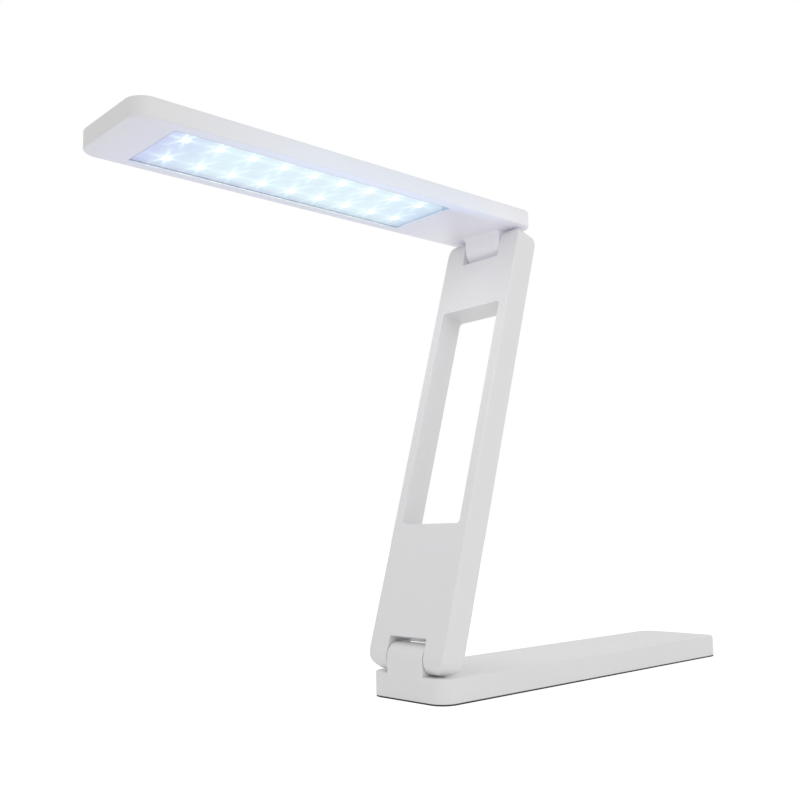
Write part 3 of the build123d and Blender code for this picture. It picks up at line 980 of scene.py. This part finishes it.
@dataclass
class Finishes:
    """Every finish that more than one sub-assembly wears."""

    shell: bpy.types.Material
    screw: bpy.types.Material
    spring: bpy.types.Material
    washer: bpy.types.Material
    lead: bpy.types.Material
    repeater: GridRepeater

    @classmethod
    def make(cls) -> "Finishes":
        """Build the shared finishes.

        Returns:
            The finishes.
        """
        return cls(
            shell=MouldedPlastic("white_shell", WHITE, gloss=0.34, smudge=0.06, specular=0.25).make(),
            screw=Metal("screw_steel", (0.55, 0.55, 0.56), gloss=0.3).make(),
            spring=Metal("spring_steel", (0.5, 0.5, 0.52), gloss=0.2).make(),
            washer=MouldedPlastic("washer_nylon", (0.72, 0.72, 0.7), gloss=0.4).make(),
            lead=MouldedPlastic("lead_insulation", (0.55, 0.03, 0.025), gloss=0.45, smudge=0.1).make(),
            repeater=GridRepeater())

    def screws(self, name: str, node: str, body: Body, turn: Matrix) -> None:
        """Replace a node of four screws with detailed ones.

        Args:
            name: The new piece's name.
            node: The node that it stands for.
            body: The body that carries it.
            turn: Turns +Z to the side that the heads show on, and the grid's X and Y to the leaf's own.
        """
        screw = CountersunkScrew()
        corners = [turn.inverted() @ vert.co for vert in frame["nodes"][node].data.vertices]
        low = Vector(min(point[i] for point in corners) for i in range(3))
        high = Vector(max(point[i] for point in corners) for i in range(3))
        place = turn @ Vector(((low.x + high.x) / 2, (low.y + high.y) / 2, high.z))
        span = high - low
        piece = self.repeater.make(name, screw.unit(), self.screw, body, "screw_steel", Columns=2, Rows=2,
                                   Length=span.x - 2 * screw.head, Width=span.y - 2 * screw.head,
                                   Turn=turn.to_euler()[:], Place=place[:])
        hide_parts(node)


@dataclass
class BaseLeaf:
    """The weighted base with its cover, mat, cell and charging circuit."""

    finishes: Finishes
    contact_count: int = 6
    contact_pitch: float = 0.58 * MM
    contact_inset: float = 0.5 * MM
    contact_size: Triple = (3.4 * MM, 0.28 * MM, 0.08 * MM)
    contact_edge: float = 0.02 * MM

    def build(self) -> None:
        """Dress the base's nodes, and set its screws and contacts."""
        for node in ("base_housing", "base_cover"):
            dress(node, self.finishes.shell)
        upside_down = Matrix.Rotation(math.pi, 3, "X")
        self.finishes.screws("base_cover_screws", "base_screws", Body.BASE, upside_down)
        # The mat is near black. It is partly real colour and partly painted shade: its dark band along the
        # base's lower edge also stands for the shade in the gap under the base.
        dress("base_mat", MouldedPlastic("mat_rubber_and_shade", (0.018, 0.018, 0.02), gloss=0.75, smudge=0.1,
                                         grain=2500.0, depth=0.05 * MM).make())
        dress("ballast", Metal("ballast_steel", (0.36, 0.35, 0.34), gloss=0.4, stain=0.5,
                               lines=1500.0).make())
        dress("battery", MouldedPlastic("cell_film", (0.1, 0.2, 0.45), gloss=0.3, smudge=0.15).make())
        dress_board("charge_board", "charge_laminate")
        dress("charge_port", Metal("port_shell", (0.68, 0.68, 0.7), gloss=0.18, stain=0.05).make())
        self.contacts()
        dress("base_leads", self.finishes.lead)
        dress("lower_friction_clip", self.finishes.spring)

    def contacts(self) -> None:
        """Lay the gilded contacts under the socket's tongue, whose lower face is at the socket's middle."""
        low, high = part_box("charge_port")
        middle = (low + high) / 2
        long, _, thick = self.contact_size
        place = (high.x - self.contact_inset - long / 2, middle.y, middle.z - thick / 4)
        strip = as_mesh("contact", soft_block(self.contact_size, (0, 0, 0), self.contact_edge))
        finish = Metal("contact_gold", (0.85, 0.6, 0.25), gloss=0.2, stain=0.05).make()
        self.finishes.repeater.make("port_contacts", strip, finish, Body.BASE, "port_metal",
                                    Columns=1, Rows=self.contact_count, Length=0.0,
                                    Width=(self.contact_count - 1) * self.contact_pitch, Place=place)


@dataclass
class Arm:
    """The arm with its cover, leads and both hinge pins."""

    finishes: Finishes

    def build(self) -> None:
        """Dress the arm's nodes, and set its screws."""
        for node in ("arm_housing", "arm_cover"):
            dress(node, self.finishes.shell)
        lower, upper = (Vector(joint["pos_m"]) for joint in frame["record"]["behaviour"]["joints"][:2])
        up = (upper - lower).normalized()
        across = Vector((0, 1, 0))
        self.finishes.screws("arm_cover_screws", "arm_screws", Body.ARM,
                             Matrix((across, up, across.cross(up))).transposed())
        dress("arm_leads", self.finishes.lead)
        for side in ("lower", "upper"):
            dress(f"{side}_pin", self.finishes.spring)
            dress(f"{side}_sleeve", self.finishes.spring)
            dress(f"{side}_washer", self.finishes.washer)
            dress(f"{side}_stop_washer", self.finishes.washer)


@dataclass
class Head:
    """The head with its window, lights, circuit and push switch."""

    finishes: Finishes
    window_lip: float = 1.2 * MM
    package: Pair = (3.5 * MM, 2.8 * MM)
    package_edge: float = 0.1 * MM
    bowl: float = 1.2 * MM
    bowl_depth: float = 0.3 * MM
    bowl_slope: float = 0.15 * MM
    dome_share: float = 0.75
    # The white frames glow with painted light that stands for the phosphor's light on them: strength, core
    # and rim.
    frame_glow: Triple = (0.75, 0.6 * MM, 2.0 * MM)
    pad_length: float = 0.3 * MM
    pad_share: float = 0.7
    pad_edge: float = 0.04 * MM
    # The head's shell is painted 3 % darker than the other white parts, as painted shade.
    painted_shade_share: float = 0.97
    shine_gap: float = 0.4 * MM
    shine_watts: float = 0.036
    shine_color: Triple = (0.94, 0.98, 1.0)

    def build(self) -> None:
        """Dress the head's nodes, and set its lights."""
        low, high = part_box("lens")
        middle, size = (low + high) / 2, high - low
        grid = LightGrid(middle_x=middle.x)
        dress("head_housing", LitShell("lit_shell", tuple(self.painted_shade_share * v for v in WHITE),
                                       middle=(middle.x, middle.y, low.z),
                                       half_length=size.x / 2 - self.window_lip,
                                       half_width=size.y / 2 - self.window_lip).make())
        dress("head_cover", self.finishes.shell)
        dress("power_button", self.finishes.shell)
        dress("lens", ClearAcrylic("window_acrylic", (0.97, 0.99, 1.0)).make())
        dress("led_board", LitBoard("lit_board", grid, size.x / 2, size.y / 2).make())
        self.lights(grid)
        dress_board("control_board", "control_laminate")
        dark = MouldedPlastic("switch_resin", (0.02, 0.02, 0.022), gloss=0.5).make()
        dress("switch_body", dark)
        dress("switch_plunger", dark)
        dress("head_leads", self.finishes.lead)
        dress("upper_friction_clip", self.finishes.spring)
        self.shine(middle, low.z, (size.x, size.y))

    def lights(self, grid: LightGrid) -> None:
        """Set the two rows of light packages.

        Args:
            grid: Where the lights are.
        """
        low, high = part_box("leds")
        deep = high.z - low.z
        layers = {"led_frames": (self.frame(deep), LightSource("led_frame", grid, *self.frame_glow)),
                  "led_phosphors": (self.dome(), LightSource("led_phosphor", grid)),
                  "led_pads": (self.pads(deep), Metal("pad_silver", (0.75, 0.75, 0.73), 0.25, 0.1))}
        pieces = {name: self.finishes.repeater.make(name, unit, finish.make(), Body.HEAD, "led_body",
                                                    Columns=grid.columns, Rows=2,
                                                    Length=(grid.columns - 1) * grid.pitch,
                                                    Width=grid.row_spacing, Row_Shift=grid.row_shift,
                                                    Place=(grid.middle_x, 0.0, low.z))
                  for name, (unit, finish) in layers.items()}
        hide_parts("leds")

    def frame(self, deep: float) -> bpy.types.Mesh:
        """Make one light's white frame with its bowl.

        Args:
            deep: How high the light stands on its board.

        Returns:
            The mesh. Its lower face, which the light leaves from, is at z = 0.
        """
        block = soft_block((*self.package, deep), (0, 0, deep / 2), self.package_edge)
        past = self.package_edge
        bowl = lathe([(0, -past), (self.bowl + past, -past), (self.bowl - self.bowl_slope, self.bowl_depth),
                      (0, self.bowl_depth)])
        return cut(as_mesh("package", block), as_mesh("bowl", bowl))

    def dome(self) -> bpy.types.Mesh:
        """Make one light's phosphor, a flat dome in the bowl.

        Returns:
            The mesh.
        """
        steps = 5
        arc = [(self.bowl * math.cos(angle), self.bowl_depth * (1 - self.dome_share * math.sin(angle)))
               for angle in (math.pi / 2 * i / steps for i in range(steps + 1))]
        return as_mesh("dome", lathe([(0, arc[-1][1]), *arc[-2::-1], (0, self.bowl_depth)]))

    def pads(self, deep: float) -> bpy.types.Mesh:
        """Make one light's two solder pads.

        Args:
            deep: How high the light stands on its board.

        Returns:
            The mesh.
        """
        across, wide = self.package
        pad = soft_block((self.pad_length, wide * self.pad_share, deep / 2), (across / 2, 0, deep * 3 / 4),
                         self.pad_edge)
        twin = bmesh.ops.duplicate(pad, geom=pad.verts[:] + pad.edges[:] + pad.faces[:])["geom"]
        corners = [one for one in twin if isinstance(one, bmesh.types.BMVert)]
        bmesh.ops.translate(pad, verts=corners, vec=(-across, 0, 0))
        return as_mesh("pads", pad)

    def shine(self, middle: Vector, bottom: float, size: Pair) -> None:
        """Add the light that the window throws on the arm and the base.

        Args:
            middle: The window's centre.
            bottom: The height of its lower face.
            size: Its length and width.
        """
        below = bottom - self.shine_gap
        lamp = Softbox("window_light", (middle.x, middle.y, below), (middle.x, middle.y, 0), size,
                       self.shine_watts, self.shine_color, seen=False).build()
        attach(lamp, Body.HEAD.value)


# -------------------------------------------------------------------------------------------------
# Studio
# -------------------------------------------------------------------------------------------------

@dataclass(frozen=True)
class PhotoCamera:
    """The photograph's camera: where it stands, where it looks and its focal length for a 36 mm sensor."""

    place: Triple = (-375.485 * MM, -304.366 * MM, 68.648 * MM)
    yaw: float = 47.898
    pitch: float = 7.606
    roll: float = -1.296
    lens: float = 44.05

    def build(self) -> bpy.types.Object:
        """Make the camera and look through it.

        Returns:
            The camera.
        """
        yaw, pitch, roll = (math.radians(v) for v in (self.yaw, self.pitch, self.roll))
        forward = Vector((math.cos(yaw) * math.cos(pitch), math.sin(yaw) * math.cos(pitch), math.sin(pitch)))
        level = Vector((math.sin(yaw), -math.cos(yaw), 0))
        upright = level.cross(forward)
        right = level * math.cos(roll) + upright * math.sin(roll)
        up = upright * math.cos(roll) - level * math.sin(roll)
        data = bpy.data.cameras.new("photo_camera")
        data.lens = self.lens
        data.sensor_width = 36
        data.clip_start, data.clip_end = 0.01, 50
        camera = bpy.data.objects.new("photo_camera", data)
        camera.matrix_world = (Matrix.Translation(self.place)
                               @ Matrix((right, up, -forward)).transposed().to_4x4())
        bpy.context.scene.collection.objects.link(camera)
        bpy.context.scene.camera = camera
        return camera


@dataclass(frozen=True)
class Softbox:
    """One rectangular studio lamp."""

    name: str
    place: Triple
    aim: Triple
    size: Pair
    watts: float
    color: Triple = (1.0, 1.0, 1.0)
    seen: bool = True

    def build(self) -> bpy.types.Object:
        """Make the lamp.

        Returns:
            The lamp's object.
        """
        data = bpy.data.lights.new(self.name, "AREA")
        data.shape = "RECTANGLE"
        data.size, data.size_y = self.size
        data.energy = self.watts
        data.color = self.color
        lamp = bpy.data.objects.new(self.name, data)
        lamp.location = self.place
        lamp.visible_camera = lamp.visible_glossy = lamp.visible_transmission = self.seen
        lamp.rotation_euler = (Vector(self.aim) - Vector(self.place)).to_track_quat("-Z", "Y").to_euler()
        bpy.context.scene.collection.objects.link(lamp)
        return lamp


@dataclass(frozen=True)
class Studio:
    """White floor, white surroundings and soft light."""

    key: Softbox = Softbox("key_softbox", (-0.15, -0.60, 0.40), (-0.08, 0, 0.12), (0.7, 0.7), 0.9)
    floor_half: float = 4.0
    floor_white: float = 0.9
    room_light: float = 0.755
    floor_glow: float = 0.09
    near_lift: float = 0.31
    far_lift: float = 0.44
    lift_start: float = 0.25
    lift_full: float = 1.2

    def build(self) -> None:
        """Make the floor, the surroundings and the lamp."""
        self.surround()
        self.floor()
        self.key.build()

    def surround(self) -> None:
        """Make the world: plain light on surfaces, and white for the camera and for reflections."""
        world = bpy.data.worlds.new("white_room")
        world.use_nodes = True
        bpy.context.scene.world = world
        graph = Graph(world.node_tree)
        seen = self.seen_directly(graph)
        level = graph.remap(seen, 0.0, 1.0, self.room_light, 1.0)
        back = world.node_tree.nodes["Background"]
        back.inputs["Color"].default_value = (1, 1, 1, 1)
        graph.put(back.inputs["Strength"], level)

    @staticmethod
    def seen_directly(graph: Graph) -> Socket:
        """Tell the rays that show the background from those that light a surface.

        Args:
            graph: The tree that asks.

        Returns:
            1 for camera, glossy and transmitted rays.
        """
        path = graph.add("ShaderNodeLightPath")
        first = graph.calc("MAXIMUM", path.outputs["Is Camera Ray"], path.outputs["Is Glossy Ray"])
        return graph.calc("MAXIMUM", first, path.outputs["Is Transmission Ray"])

    def floor(self) -> None:
        """Make the floor, white where it is lit and grey in the lamp's shadow."""
        half = self.floor_half
        mesh = bpy.data.meshes.new("floor")
        corners = [(-half, -half, 0), (half, -half, 0), (half, half, 0), (-half, half, 0)]
        mesh.from_pydata(corners, [], [(0, 1, 2, 3)])
        floor = bpy.data.objects.new("floor", mesh)
        bpy.context.scene.collection.objects.link(floor)
        skin = Dressing("floor_white")
        graph = skin.graph
        away = graph.add("ShaderNodeVectorMath", {0: skin.place}, operation="LENGTH").outputs["Value"]
        reach = graph.remap(away, self.lift_start, self.lift_full, self.near_lift, self.far_lift)
        lift = graph.calc("MULTIPLY_ADD", self.seen_directly(graph), reach, self.floor_glow)
        skin.set(Base_Color=(*[self.floor_white] * 3, 1), Roughness=0.6, Specular_IOR_Level=0.0,
                 Emission_Color=(1, 1, 1, 1), Emission_Strength=lift)
        mesh.materials.append(skin.material)


def main() -> None:
    """Build the lamp's looks and the studio round it."""
    logging.basicConfig(level=logging.INFO, format="%(message)s")
    bpy.context.scene.view_settings.view_transform = "Standard"
    PhotoCamera().build()
    Studio().build()
    finishes = Finishes.make()
    for assembly in (BaseLeaf(finishes), Arm(finishes), Head(finishes)):
        assembly.build()
        log.info("built %s", type(assembly).__name__)


if __name__ == "__main__":
    main()
